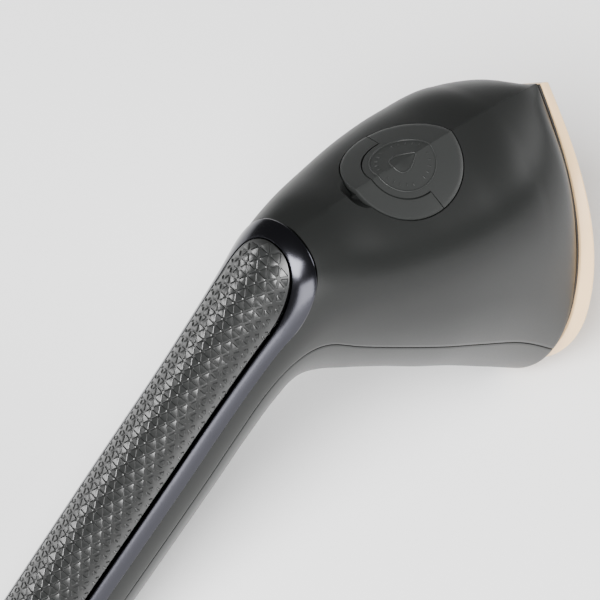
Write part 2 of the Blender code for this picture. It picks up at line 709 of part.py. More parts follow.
def make_tank(maker):
    """Water tank with its filler neck, open at the neck's mouth."""
    centre, size = (-60.0, 0, -38.0), (48.0, 34.0, 36.0)
    tank = maker.add("water_tank", box(centre, size), "clear")
    maker.soften(tank, 4.0)
    neck = rod((LID_CENTRE_X, 0, -24), (LID_CENTRE_X, 0, -11.0), NECK_RADIUS, segments=32)
    maker.cut(tank, maker.add("neck_outside", neck, None, cutter=True), "UNION")
    inside = maker.add("tank_inside", box(centre, [s - 3.6 for s in size]), None, cutter=True)
    maker.cut(tank, inside)
    bore = rod((LID_CENTRE_X, 0, -30), (LID_CENTRE_X, 0, -5), NECK_RADIUS - 1.7, segments=32)
    maker.cut(tank, maker.add("neck_bore", bore, None, cutter=True))


def make_pump(maker):
    """Pump with its coil yoke, and the hoses from the tank and to the boiler."""
    start, end = handle_point(26, 1), handle_point(60, 1)
    maker.add("pump_body", rod(start, end, 9.0, segments=32), "white")
    maker.add("pump_coil_yoke", ring_solid(handle_point(32, 1), handle_point(54, 1), 12.0, 9.3), "steel")
    inlet = bend([(-85.2, 0, -38), (-94, 0, -38), handle_point(10, 0), handle_point(25.4, 0)], 9)
    maker.add("water_hose", tube_mesh(inlet, 2.4), "rubber")
    outlet = bend([handle_point(25.4, 7), handle_point(14, 7), (-94, 0, -66), (-60, 0, -66),
                   (-12.5, 0, -78)], 12)
    maker.add("steam_hose", tube_mesh(outlet, 1.6), "rubber")


def make_electrics(maker):
    """Circuit board, switch, terminals and the cord clamp with its screws."""
    board = handle_box(98, 0, 5.0, (62, 20, 1.6))
    maker.add("circuit_board", board, "board")
    maker.add("micro_switch", handle_box(71, 0, 9.3, (10, 6, 6.0)), "white")
    maker.add("terminal_block", handle_box(148, 0, -4, (12, 18, 8)), "white")
    maker.add("cord_clamp", handle_box(172, 0, -8.5, (6, 22, 5)), "white")
    for index, side in enumerate((-7, 7)):
        body = screw(handle_point(172, -1, side), handle_point(172, -5.6, side), 2.4, 1.0)
        maker.add(f"clamp_screw_{index + 1}", body, "steel")


def stance():
    """Turn about Y and height that put the heel and the cap's flat on z = 0."""
    cap = handle_point(HANDLE_END + CAP_LENGTH * 0.5, CAP_FLAT)
    rise, run = HEEL_FLAT[1] - cap.z, HEEL_FLAT[0] - cap.x
    angle = math.atan2(rise, run)
    floor = -HEEL_FLAT[0] * math.sin(angle) + HEEL_FLAT[1] * math.cos(angle)
    return angle, floor


def stand(maker, angle, floor):
    """Turn the root empty and centre the whole on the origin in plan."""
    maker.root.rotation_euler = (0, angle, 0)
    maker.root.location = (0, 0, -floor * MM)
    bpy.context.view_layer.update()
    graph = bpy.context.evaluated_depsgraph_get()
    xs = []
    for obj in maker.parts.objects:
        if obj.type == "MESH":
            shown = obj.evaluated_get(graph)
            xs += [(shown.matrix_world @ v.co).x for v in shown.data.vertices]
    maker.root.location.x -= (min(xs) + max(xs)) / 2
    bpy.context.view_layer.update()


def main():
    clear_scene()
    maker = Maker()
    rear, front = make_shells(maker)
    make_plate(maker)
    make_grip(maker)
    make_lid(maker)
    cap = make_end_cap(maker)
    make_controls(maker, front)
    make_boiler(maker)
    make_tank(maker)
    make_pump(maker)
    make_electrics(maker)
    angle, floor = stance()
    plane = standing_cutter(maker, angle, floor)
    maker.cut(front, plane)
    maker.cut(cap, plane)
    stand(maker, angle, floor)


main()
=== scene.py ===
"""Looks of a hand-held garment steamer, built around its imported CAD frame.

Lengths inside the form classes are design millimetres: X forward from the steam plate's seat,
Z up along the plate, Y sideways, origin at the shell's pointed tip.  Form.world() turns them
into the frame's metres.
"""
import json
import logging
import math
from dataclasses import dataclass
from enum import Enum
from typing import Callable

import bmesh
import bpy
from mathutils import Matrix, Vector


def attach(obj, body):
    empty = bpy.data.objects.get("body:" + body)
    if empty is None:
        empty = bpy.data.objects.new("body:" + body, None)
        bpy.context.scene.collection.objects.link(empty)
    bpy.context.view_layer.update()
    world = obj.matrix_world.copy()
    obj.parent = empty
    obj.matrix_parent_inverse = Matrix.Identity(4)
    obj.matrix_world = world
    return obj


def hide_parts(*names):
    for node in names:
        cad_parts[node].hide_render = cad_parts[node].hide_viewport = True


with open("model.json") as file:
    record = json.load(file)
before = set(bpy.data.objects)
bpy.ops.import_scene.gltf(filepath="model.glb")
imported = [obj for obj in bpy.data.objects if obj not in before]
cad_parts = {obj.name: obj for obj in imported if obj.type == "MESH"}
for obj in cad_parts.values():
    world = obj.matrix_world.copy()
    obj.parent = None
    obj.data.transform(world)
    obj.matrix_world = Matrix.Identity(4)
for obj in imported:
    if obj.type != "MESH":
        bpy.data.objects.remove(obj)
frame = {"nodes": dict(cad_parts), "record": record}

LOG = logging.getLogger("steamer")
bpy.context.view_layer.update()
MM = 0.001
ROUND = 0.552  # Bezier handle share of a quarter circle
CORE = Vector((-70.0, 0.0, -50.0))  # a point well inside the body, in design millimetres
Place = Callable[[float, float], Vector]
Table = list[tuple[float, float]]
Size = tuple[float, float, float]


# ------------------------------------------------------------------ form

@dataclass(frozen=True)
class Station:
    """One cross-section of the lofted body.

    Args:
        top: top contour point as (X, Z).
        bottom: bottom contour point as (X, Z).
        wide: half width at the widest line.
        deep: distance from the top to the widest line.
        slope: slope of the roof beside the ridge, in degrees.
        shares: four Bezier handle lengths as shares of the half width and the depths.
    """

    top: tuple[float, float]
    bottom: tuple[float, float]
    wide: float
    deep: float
    slope: float
    shares: tuple[float, float, float, float] = (ROUND, ROUND, ROUND, ROUND)

    def row(self) -> list[float]:
        """All the station's numbers in one list, for interpolation."""
        return [*self.top, *self.bottom, self.wide, self.deep, self.slope, *self.shares]


class Form:
    """The steamer's outer surface, its handle axis and its place in the frame."""

    handle_top = Vector((-96.7, 0.0, -22.6))
    lean = math.radians(34.0)
    down = Vector((-math.sin(lean), 0.0, -math.cos(lean)))
    front = Vector((math.cos(lean), 0.0, -math.sin(lean)))
    handle_end = 182.0
    cap_length = 6.0
    cap_flat = 16.6
    heel = (-1.5, -129.3)
    tab_pivot = Vector((-58.9, 0.0, -8.0))
    roof_turn = 4.5
    slope_column = 6

    def __init__(self) -> None:
        """Lay out the stations and find the design frame in the CAD frame."""
        def edge(along: float, out: float) -> tuple[float, float]:
            """Contour point of the handle, in front of its axis or, with a minus, behind it."""
            return tuple(self.handle(along, out).xz)

        end = self.handle_end
        self.stations = [
            Station((0, 0), (0, -131), 37.2, 81, 45, (0.806, 0.445, 0.48, 0.645)),
            Station((-20, 0.2), (-17, -121.3), 37.2, 61, 16, (0.86, 0.68, 0.52, 0.6)),
            Station((-42, -1.5), (-34, -110.8), 36.2, 49, 18, (0.90, 0.74, ROUND, ROUND)),
            Station((-62, -3.4), (-50, -101.7), 34.0, 43, 19, (0.90, 0.73, ROUND, ROUND)),
            Station((-82, -5.8), (-66, -92.6), 30.0, 37, 18, (0.84, 0.69, ROUND, ROUND)),
            Station((-100, -8.4), (-81, -85.5), 25.2, 32, 7, (0.75, 0.62, ROUND, ROUND)),
            Station((-114, -14), (-93, -79.8), 21.4, 28, 0, (0.65, 0.57, ROUND, ROUND)),
            Station(edge(20, -20.5), (-103.5, -76.4), 19.1, 23.5, 0),
            Station(edge(40, -20.5), edge(57, 21.4), 18.0, 21, 0),
            Station(edge(64, -20.5), edge(72, 20.5), 17.5, 20.5, 0),
            Station(edge(90, -20.5), edge(90, 20.5), 17.5, 20.5, 0),
            Station(edge(118, -20.3), edge(118, 20.3), 17.3, 20.3, 0),
            Station(edge(150, -20.0), edge(150, 20.0), 17.0, 20.0, 0),
            Station(edge(end, -19.5), edge(end, 19.5), 16.7, 19.5, 0),
        ]
        self.last = len(self.stations) - 1
        self.rows = [station.row() for station in self.stations]
        seams = (1.28, 1.295, 1.30, 1.28, 1.26, 1.22, 1.12, 1.05)
        level = (1.0,) * (len(self.stations) - len(seams))
        self.parting = [[share] for share in seams + level]
        cap = self.handle(end + self.cap_length / 2, self.cap_flat)
        self.angle = math.atan2(self.heel[1] - cap.z, self.heel[0] - cap.x)
        self.turn = Matrix.Rotation(self.angle, 3, "Y")
        hinge = next(j for j in frame["record"]["behaviour"]["joints"] if j["name"] == "pull_tab_hinge")
        self.shift = Vector(hinge["pos_m"]) - self.turn @ (self.tab_pivot * MM)

    def handle(self, along: float, out: float = 0.0, side: float = 0.0) -> Vector:
        """Point on the handle, by its distance along the axis, to the front and sideways."""
        point = self.handle_top + self.down * along + self.front * out
        return Vector((point.x, side, point.z))

    def world(self, point: Vector) -> Vector:
        """Design millimetres to frame metres."""
        return self.turn @ (Vector(point) * MM) + self.shift

    def direction(self, vector: Vector) -> Vector:
        """Design direction to frame direction."""
        return self.turn @ Vector(vector)

    @staticmethod
    def smooth(rows: list[list[float]], tau: float) -> list[float]:
        """Catmull-Rom value of the rows at station tau."""
        i = min(max(int(tau), 0), len(rows) - 2)
        f = tau - i
        b, c = rows[i], rows[i + 1]
        a = rows[i - 1] if i else [2 * p - q for p, q in zip(b, c)]
        d = rows[i + 2] if i + 2 < len(rows) else [2 * q - p for p, q in zip(b, c)]
        return [0.5 * (2 * q + (r - p) * f + (2 * p - 5 * q + 4 * r - s) * f * f
                       + (3 * q - p - 3 * r + s) * f ** 3) for p, q, r, s in zip(a, b, c, d)]

    def section(self, tau: float, share: float) -> Vector:
        """Surface point of a cross-section.

        Args:
            tau: station, with fractions between two stations.
            share: 0 on top, 1 at the widest line, 2 at the bottom; negative or past 2 on the far side.

        Returns:
            The point in design millimetres.
        """
        side = -1.0 if share < 0 or share > 2 else 1.0
        share = min(abs(share), 4.0 - abs(share))
        tx, tz, bx, bz, wide, deep, _, k0, k1, k2, k3 = self.smooth(self.rows, tau)
        roof_tau = 1 - (1 - tau) ** self.roof_turn if tau < 1 else tau
        slope = math.radians(self.smooth(self.rows, roof_tau)[self.slope_column])
        height = math.hypot(bx - tx, bz - tz)
        if share <= 1:
            t = share
            cage = ((0, 0), (k0 * wide * math.cos(slope), k0 * wide * math.sin(slope)),
                    (wide, deep * (1 - k1)), (wide, deep))
        else:
            rest = height - deep
            t = share - 1
            cage = ((wide, deep), (wide, deep + k2 * rest), (k3 * wide, height), (0, height))
        weight = ((1 - t) ** 3, 3 * t * (1 - t) ** 2, 3 * t * t * (1 - t), t ** 3)
        out = sum(w * p[0] for w, p in zip(weight, cage))
        drop = sum(w * p[1] for w, p in zip(weight, cage)) / height
        return Vector((tx + (bx - tx) * drop, -side * out, tz + (bz - tz) * drop))

    def skin(self, tau: float, share: float, lift: float = 0.0) -> Vector:
        """Surface point raised by lift along the outward normal, or lowered when it is negative."""
        point = self.section(tau, share)
        if lift:
            step = 0.02
            low, high = max(tau - step, 0), min(tau + step, self.last)
            along = self.section(high, share) - self.section(low, share)
            probe = share if abs(share) > step else math.copysign(step, share)
            around = self.section(tau, probe + step) - self.section(tau, probe - step)
            point += along.cross(around).normalized() * lift
        return point

    def roof(self, x: float, y: float, lift: float = 0.0) -> Vector:
        """Point above the roof at a plan position, found by repeated secant steps."""
        tau, share, nudge, rounds = 3.0, 0.3, 0.01, 9
        for _ in range(rounds):
            here = self.section(tau, share)
            share += (abs(y) + here.y) / -(self.section(tau, share + nudge).y - here.y) * nudge
            share = min(max(share, 0.0), 1.0)
            here = self.section(tau, share)
            tau += (x - here.x) / (self.section(tau + nudge, share).x - here.x) * nudge
        return self.skin(tau, -share if y > 0 else share, lift)

    def seam(self, tau: float) -> float:
        """Section share of the parting line at station tau."""
        return self.smooth(self.parting, tau)[0]


FORM = Form()


# ------------------------------------------------------------------ finishes

class Grain(Enum):
    """Surface grain of a finish."""

    SMOOTH = "smooth"
    MOULDED = "moulded"
    CAST = "cast"
    BRUSHED = "brushed"


COAT_ROUGHNESS = 0.12
BRUSH_STRETCH = (1, 12, 1)
BROAD_SCALE, BROAD_DETAIL = 38.0, 3.0
FINE_DETAIL = 2.0
BUMP_STRENGTH = 0.6


@dataclass(frozen=True)
class Finish:
    """One surface finish, made as a node material on Object coordinates.

    Args:
        colour: linear base colour.
        rough: mean roughness.
        metal: metallic value.
        spread: how far the colour and the roughness wander.
        grain: kind of surface grain.
        grain_size: size of the grain in metres.
        relief: bump height in metres.
        coat: clear coat weight.
        clear: transmission weight.
        gloss: level of the mirror reflection, 0.5 for common plastics.
    """

    name: str
    colour: tuple[float, float, float]
    rough: float
    metal: float = 0.0
    spread: float = 0.12
    grain: Grain = Grain.MOULDED
    grain_size: float = 0.0006
    relief: float = 0.00001
    coat: float = 0.0
    clear: float = 0.0
    gloss: float = 0.5

    def material(self) -> bpy.types.Material:
        """Make the material, or return the one already made."""
        made = bpy.data.materials.get(self.name)
        if made:
            return made
        mat = bpy.data.materials.new(self.name)
        mat.use_nodes = True
        nodes, links = mat.node_tree.nodes, mat.node_tree.links
        shader = nodes["Principled BSDF"]
        shader.inputs["Metallic"].default_value = self.metal
        shader.inputs["Coat Weight"].default_value = self.coat
        shader.inputs["Coat Roughness"].default_value = COAT_ROUGHNESS
        shader.inputs["Transmission Weight"].default_value = self.clear
        shader.inputs["Specular IOR Level"].default_value = self.gloss
        spot = nodes.new("ShaderNodeTexCoord")
        place = nodes.new("ShaderNodeMapping")
        place.inputs["Scale"].default_value = BRUSH_STRETCH if self.grain is Grain.BRUSHED else (1, 1, 1)
        links.new(spot.outputs["Object"], place.inputs["Vector"])
        broad = self.noise(mat.node_tree, place, BROAD_SCALE, BROAD_DETAIL)
        fine = self.noise(mat.node_tree, place, 1.0 / self.grain_size, FINE_DETAIL)
        tint = nodes.new("ShaderNodeMix")
        tint.data_type = "RGBA"
        tint.inputs["A"].default_value = (*[c * (1 - self.spread) for c in self.colour], 1)
        tint.inputs["B"].default_value = (*[min(c * (1 + self.spread), 1) for c in self.colour], 1)
        links.new(broad.outputs["Fac"], tint.inputs["Factor"])
        links.new(tint.outputs["Result"], shader.inputs["Base Color"])
        span = nodes.new("ShaderNodeMapRange")
        span.inputs["To Min"].default_value = self.rough * (1 - self.spread)
        span.inputs["To Max"].default_value = min(self.rough * (1 + self.spread), 1)
        links.new(fine.outputs["Fac"], span.inputs["Value"])
        links.new(span.outputs["Result"], shader.inputs["Roughness"])
        bump = nodes.new("ShaderNodeBump")
        bump.inputs["Distance"].default_value = self.relief
        bump.inputs["Strength"].default_value = 0.0 if self.grain is Grain.SMOOTH else BUMP_STRENGTH
        links.new(fine.outputs["Fac"], bump.inputs["Height"])
        links.new(bump.outputs["Normal"], shader.inputs["Normal"])
        return mat

    @staticmethod
    def noise(tree: bpy.types.NodeTree, place: bpy.types.Node, scale: float, detail: float) -> bpy.types.Node:
        """Noise texture on the placed coordinates."""
        node = tree.nodes.new("ShaderNodeTexNoise")
        node.inputs["Scale"].default_value = scale
        node.inputs["Detail"].default_value = detail
        tree.links.new(place.outputs["Vector"], node.inputs["Vector"])
        return node


SHELL = Finish("satin_black_shell", (0.0085, 0.0091, 0.0087), 0.40, spread=0.08, relief=0.000006,
               gloss=0.2)
LID = Finish("charcoal_lid", (0.017, 0.018, 0.0174), 0.40, spread=0.08, relief=0.000006,
             gloss=0.28)
CHROME = Finish("dark_chrome", (0.040, 0.040, 0.047), 0.2, metal=1.0, spread=0.04, grain=Grain.SMOOTH)
# The grip floor and the studs are one material; the floor is painted darker than the studs as painted shade
# in the grooves between them.
GRIP_SHADED_FLOOR = Finish("grip_floor_painted_shade", (0.005, 0.0054, 0.0052), 0.36, spread=0.12)
STUDS = Finish("grip_studs", (0.009, 0.0096, 0.0093), 0.32, spread=0.12, coat=0.1)
GOLD = Finish("champagne_coating", (0.80, 0.54, 0.28), 0.42, spread=0.05, grain=Grain.CAST, coat=0.2)
RUBBER = Finish("black_silicone", (0.018, 0.016, 0.014), 0.75, grain_size=0.0004, relief=0.00002)
TANK = Finish("smoky_tank", (0.45, 0.55, 0.60), 0.18, clear=0.7)
LENS = Finish("amber_lens", (0.85, 0.36, 0.12), 0.12, clear=0.5, coat=0.5)
BOARD = Finish("green_board", (0.03, 0.16, 0.07), 0.45, grain=Grain.BRUSHED, coat=0.4)
CAST = Finish("cast_aluminium", (0.58, 0.58, 0.59), 0.55, metal=0.9, grain=Grain.CAST, relief=0.00004)
STEEL = Finish("bright_steel", (0.60, 0.60, 0.62), 0.28, metal=1.0, grain=Grain.BRUSHED)
FITTING = Finish("white_fitting", (0.78, 0.78, 0.75), 0.50, grain_size=0.0005)
BY_SLOT = {"shell": SHELL, "plate": GOLD, "gasket": RUBBER, "trim": CHROME, "grip": GRIP_SHADED_FLOOR, "lid": LID,
           "tank": TANK, "lens": LENS, "board": BOARD, "cast": CAST, "steel": STEEL, "fitting": FITTING}


# ------------------------------------------------------------------ bench tools

def unselect() -> None:
    """Leave edit mode and deselect everything."""
    if bpy.context.mode != "OBJECT":
        bpy.ops.object.mode_set(mode="OBJECT")
    bpy.ops.object.select_all(action="DESELECT")


def only(*objects: bpy.types.Object) -> None:
    """Select the given objects alone and make the first active."""
    unselect()
    for obj in objects:
        obj.select_set(True)
    bpy.context.view_layer.objects.active = objects[0]


def apply(obj: bpy.types.Object, kind: str, **values: object) -> None:
    """Add a modifier of a kind with its values and apply it."""
    only(obj)
    mod = obj.modifiers.new(kind.lower(), kind)
    for key, value in values.items():
        setattr(mod, key, value)
    bpy.ops.object.modifier_apply(modifier=mod.name)


def clean(obj: bpy.types.Object, gap: float = 0.00001) -> None:
    """Merge doubles and turn the faces outwards, in edit mode."""
    only(obj)
    bpy.ops.object.mode_set(mode="EDIT")
    bpy.ops.mesh.select_all(action="SELECT")
    bpy.ops.mesh.remove_doubles(threshold=gap)
    bpy.ops.mesh.normals_make_consistent(inside=False)
    bpy.ops.object.mode_set(mode="OBJECT")


def shade(obj: bpy.types.Object, degrees: float = 30.0) -> None:
    """Shade smooth, with edges past an angle kept sharp."""
    only(obj)
    bpy.ops.object.shade_smooth_by_angle(angle=math.radians(degrees))


def woven(name: str, across: int, along: int, place: Place, outward: bool = True) -> bpy.types.Object:
    """Grid primitive whose points are laid on a surface.

    Args:
        name: the piece's name.
        across: divisions in u.
        along: divisions in v.
        place: gives the design point at (u, v), both from 0 to 1.
        outward: merge doubles and make the faces point outwards.

    Returns:
        The new object, in frame metres.
    """
    unselect()
    bpy.ops.mesh.primitive_grid_add(x_subdivisions=across, y_subdivisions=along, size=1.0)
    obj = bpy.context.object
    obj.name = name
    for vertex in obj.data.vertices:
        vertex.co = FORM.world(place(vertex.co.x + 0.5, vertex.co.y + 0.5))
    if outward:
        clean(obj)
    return obj


def close_ends(obj: bpy.types.Object) -> None:
    """Fill the open ends of a tube-like piece and turn it outwards."""
    only(obj)
    bpy.ops.object.mode_set(mode="EDIT")
    bpy.ops.mesh.select_all(action="SELECT")
    bpy.ops.mesh.fill_holes(sides=0)
    bpy.ops.mesh.normals_make_consistent(inside=False)
    bpy.ops.object.mode_set(mode="OBJECT")


def carve(obj: bpy.types.Object, cutter: bpy.types.Object) -> None:
    """Cut a piece with a cutter that is then thrown away."""
    apply(obj, "BOOLEAN", object=cutter, operation="DIFFERENCE", solver="EXACT")
    bpy.data.objects.remove(cutter, do_unlink=True)


def join(objects: list[bpy.types.Object], name: str) -> bpy.types.Object:
    """Join pieces into one object."""
    only(*objects)
    if len(objects) > 1:
        bpy.ops.object.join()
    obj = bpy.context.view_layer.objects.active
    obj.name = name
    return obj


def rod(start: Vector, end: Vector, radius: float, sides: int = 48) -> bpy.types.Object:
    """Cylinder primitive, its place kept in its mesh.

    Args:
        start: design point at one end of the axis; end is the other.
        radius: radius in millimetres.
        sides: flats around the cylinder.
    """
    a, b = FORM.world(start), FORM.world(end)
    unselect()
    bpy.ops.mesh.primitive_cylinder_add(vertices=sides, radius=radius * MM, depth=(b - a).length,
                                        location=(a + b) / 2,
                                        rotation=(b - a).to_track_quat("Z", "Y").to_euler())
    obj = bpy.context.object
    bpy.ops.object.transform_apply(location=True, rotation=True, scale=True)
    return obj


def box(size: Size, place: Vector, turn: float = 0.0) -> bpy.types.Object:
    """Box primitive in frame metres, its place and size kept in its mesh.

    Args:
        size: lengths of the sides.
        place: the box's middle.
        turn: turn about the sideways axis, in radians.
    """
    unselect()
    bpy.ops.mesh.primitive_cube_add(size=1.0, location=place, rotation=(0, turn, 0))
    obj = bpy.context.object
    obj.scale = size
    bpy.ops.object.transform_apply(location=True, rotation=True, scale=True)
    return obj


def finish_piece(obj: bpy.types.Object, finish: Finish, body: str, slot: str, *nodes: str) -> None:
    """Dress a piece, attach it to its body, and hide the CAD nodes that it stands for.

    Args:
        body: the body that the piece rides on.
        nodes: the CAD nodes that it replaces, if any.
    """
    obj.data.materials.clear()
    obj.data.materials.append(finish.material())
    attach(obj, body)
    if nodes:
        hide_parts(*nodes)
    LOG.info("%s: %d faces on %s", obj.name, len(obj.data.polygons), body)


def refined(node: str, name: str, bevel: float, segments: int = 3) -> bpy.types.Object:
    """Merged copy of a CAD node with rounded edges; the node itself isn't changed.

    Args:
        bevel: width of the rounding in millimetres.
        segments: steps across the rounding.
    """
    source = frame["nodes"][node]
    copy = bpy.data.objects.new(name, source.data.copy())
    bpy.context.scene.collection.objects.link(copy)
    clean(copy, 0.000005)
    only(copy)
    bpy.ops.object.mode_set(mode="EDIT")
    bpy.ops.mesh.select_all(action="SELECT")
    bpy.ops.mesh.dissolve_limited(angle_limit=math.radians(1.0))
    bpy.ops.object.mode_set(mode="OBJECT")
    apply(copy, "BEVEL", width=bevel * MM, segments=segments, limit_method="ANGLE",
          angle_limit=math.radians(40), use_clamp_overlap=True)
    shade(copy)
    return copy


# ------------------------------------------------------------------ sub-assemblies

def look(table: Table, value: float) -> float:
    """Station or share at a measured distance.

    Args:
        table: pairs of a station or share and the distance there, both rising.
        value: distance in millimetres.

    Returns:
        The station or share, or one past the table's last when the distance is off its end.
    """
    for (a, low), (b, high) in zip(table, table[1:]):
        if value <= high:
            return a + (b - a) * (value - low) / (high - low)
    return table[-1][0] + 1.0


@dataclass(frozen=True)
class Unrolled:
    """The handle's back laid out flat: stations and shares with their distances."""

    lengths: Table
    arcs: Table

    def point(self, along: float, side: float, lift: float) -> Vector:
        """Frame point above a flat position, kept on the handle."""
        margin = 0.01
        tau = min(look(self.lengths, max(along, margin)), FORM.last - margin)
        share = math.copysign(look(self.arcs, abs(side)), side)
        return FORM.world(FORM.skin(tau, share, lift))


@dataclass
class Grip:
    """Studded insert and its U-shaped chrome trim on the handle's back.

    Stations and section shares place the outlines; other sizes are millimetres.

    Args:
        rounding: length of the round end, in stations.
        depth: depth of the insert and the trim below the skin.
        ease: how much closer the rows lie at the round end.
        overrun: how far the rows run past the handle's end, as a factor.
        face: quarters of a turn that each face of a block takes.
        lattice: side of the stud lattice's triangles.
        stud_fill: size of the middle studs in their triangles.
        stud_fade: how much of that size the side studs lose.
        calm: half width of the field of full-size studs.
        corner: half angle of a stud's cut corners.
    """

    apex: float = 5.95
    share: float = 0.53
    trim_apex: float = 5.45
    trim_share: float = 0.74
    rounding: float = 1.35
    depth: float = 2.3
    ease: float = 1.6
    overrun: float = 1.02
    face: float = 1.8
    lattice: float = 3.87
    stud_height: float = 0.62
    stud_fill: float = 0.80
    stud_fade: float = 0.46
    calm: float = 5.0
    margin: float = 1.0
    corner: float = 0.14

    def width(self, tau: float, apex: float, share: float) -> float:
        """Section share of a round-topped outline at station tau."""
        run = (tau - apex) / self.rounding
        return share * math.sqrt(max(1 - max(1 - run, 0) ** 2, 0))

    def tau_at(self, u: float, apex: float) -> float:
        """Station of u from 0 at the apex to 1 at the handle's end, closer at the apex."""
        return apex + (FORM.last - apex) * u ** self.ease

    def block(self, name: str, apex: float, share: float, high: float, low: float,
              past: float = 0.0) -> bpy.types.Object:
        """Solid along the handle's back between two lifts.

        Args:
            apex: station of the round end.
            share: section share of the half width.
            high: lift of the outer face; low is the inner face's.
            past: how far the solid runs past the handle's end.
        """
        def place(u: float, v: float) -> Vector:
            run = u * self.overrun
            tau = self.tau_at(min(run, 1.0), apex)
            wide = self.width(tau, apex, share)
            turn = v * 4
            if turn <= self.face:
                point = FORM.skin(tau, wide * (2 * turn / self.face - 1), high)
            else:
                back = min(max((turn - 2.0) / self.face, 0), 1)
                point = FORM.skin(tau, wide * (1 - 2 * back), low)
            return point + FORM.down * (past if run > 1.0 else 0.0)

        obj = woven(name, 96, 60, place)
        close_ends(obj)
        return obj

    def unrolled(self) -> Unrolled:
        """Measure the handle's back along its ridge and round one section of the straight part."""
        steps, section, shares, fine = 200, 10, 60, 100
        lengths = [(self.apex, 0.0)]
        for i in range(1, steps + 1):
            tau = self.apex + (FORM.last - self.apex) * i / steps
            run = (FORM.section(tau, 0) - FORM.section(lengths[-1][0], 0)).length
            lengths.append((tau, lengths[-1][1] + run))
        arcs = [(0.0, 0.0)]
        for i in range(1, shares + 1):
            share = i / fine
            run = (FORM.section(section, share) - FORM.section(section, arcs[-1][0])).length
            arcs.append((share, arcs[-1][1] + run))
        return Unrolled(lengths, arcs)

    def studs(self) -> bpy.types.Object:
        """Raised triangular studs in a lattice, large in the middle and small at the sides."""
        flat = self.unrolled()
        edge = self.lattice
        row = edge * math.sqrt(3) / 2
        half = flat.arcs[int(self.share * 100)][1]
        mesh = bmesh.new()
        columns = int(2 * half / edge) + 1
        for line in range(int(flat.lengths[-1][1] / row)):
            for column in range(-columns, columns + 1):
                up = (line + column) % 2 == 0
                side = column * edge / 2
                along = (line + (1 / 3 if up else 2 / 3)) * row
                outline = self.width(look(flat.lengths, along), self.apex, self.share)
                if abs(side) > half - self.margin or look(flat.arcs, abs(side)) > outline - 0.04:
                    continue
                fade = min(max((abs(side) - self.calm) / (half - self.calm - self.margin), 0.0), 1.0)
                size = edge / math.sqrt(3) * (self.stud_fill - self.stud_fade * fade)
                self.stud(mesh, flat, (along, side), size, up, fade)
        data = bpy.data.meshes.new("grip_studs")
        mesh.to_mesh(data)
        mesh.free()
        obj = bpy.data.objects.new("grip_studs", data)
        bpy.context.scene.collection.objects.link(obj)
        clean(obj, 0.000001)
        return obj

    def stud(self, mesh: bmesh.types.BMesh, flat: Unrolled, spot: tuple[float, float], size: float,
             up: bool, fade: float) -> None:
        """Add one stud: a three-sided frustum with cut corners on the grip's surface.

        Args:
            spot: distances of the stud's middle along and sideways.
            size: distance from the middle to a corner.
            up: whether the stud points along the handle or back.
            fade: 0 for a middle stud, 1 for one at the side.
        """
        layers = ((1.0, 0.0), (0.92 - 0.1 * fade, self.stud_height - 0.12),
                  (0.76 - 0.36 * fade, self.stud_height + 0.12 * fade))
        turn = 0.0 if up else math.pi
        angles = [turn + corner * 2 * math.pi / 3 + cut
                  for corner in range(3) for cut in (-self.corner, self.corner)]
        rings = [[mesh.verts.new(flat.point(spot[0] + size * scale * math.cos(angle),
                                            spot[1] - size * scale * math.sin(angle), lift))
                  for angle in angles] for scale, lift in layers]
        for low, high in zip(rings, rings[1:]):
            for j in range(len(angles)):
                k = (j + 1) % len(angles)
                mesh.faces.new((low[j], low[k], high[k], high[j]))
        mesh.faces.new(rings[-1])
        mesh.faces.new(list(reversed(rings[0])))

    def trim(self) -> bpy.types.Object:
        """Chrome U with an outer bevel, a crown and an inner slope."""
        outer = self.path(self.trim_apex, self.trim_share)
        inner = self.path(self.apex - 0.03, self.share + 0.012)
        profile = ((0.0, -0.2), (0.02, 0.42), (0.06, 0.60), (0.12, 0.68), (0.4, 0.74), (0.7, 0.68),
                   (0.92, 0.55), (0.97, 0.48), (1.0, 0.30),
                   (1.0, -self.depth), (0.5, -self.depth), (0.0, -self.depth))
        count = len(outer) - 1

        def place(u: float, v: float) -> Vector:
            spot = u * count
            i = min(int(spot), count - 1)
            f = spot - i
            a = [p + (q - p) * f for p, q in zip(outer[i], outer[i + 1])]
            b = [p + (q - p) * f for p, q in zip(inner[i], inner[i + 1])]
            mix, lift = profile[round(v * len(profile)) % len(profile)]
            return FORM.skin(a[0] + (b[0] - a[0]) * mix, a[1] + (b[1] - a[1]) * mix, lift)

        obj = woven("grip_trim_shape", count, len(profile), place)
        close_ends(obj)
        return obj

    def path(self, apex: float, share: float) -> Table:
        """U-shaped path in stations and shares, from end to end round the apex."""
        straight, round_steps = 60, 56
        centre = apex + self.rounding
        end = FORM.last - 0.002
        side = [(end + (centre - end) * i / straight, share) for i in range(straight)]
        arc = [(centre - self.rounding * math.sin(math.pi * i / round_steps),
                share * math.cos(math.pi * i / round_steps)) for i in range(round_steps + 1)]
        return side + arc + [(tau, -s) for tau, s in reversed(side)]

    def build(self) -> None:
        """Make and dress the insert, its studs and the trim."""
        base = self.block("grip_insert_base", self.apex, self.share + 0.006, 0.3, -self.depth)
        shade(base)
        # the floor's darker colour is painted shade between the studs
        finish_piece(base, GRIP_SHADED_FLOOR, "housing", "grip", "grip_insert")
        studs = self.studs()
        shade(studs, 25)
        finish_piece(studs, STUDS, "housing", "grip")
        trim = self.trim()
        shade(trim, 16)
        finish_piece(trim, CHROME, "housing", "trim", "grip_trim")


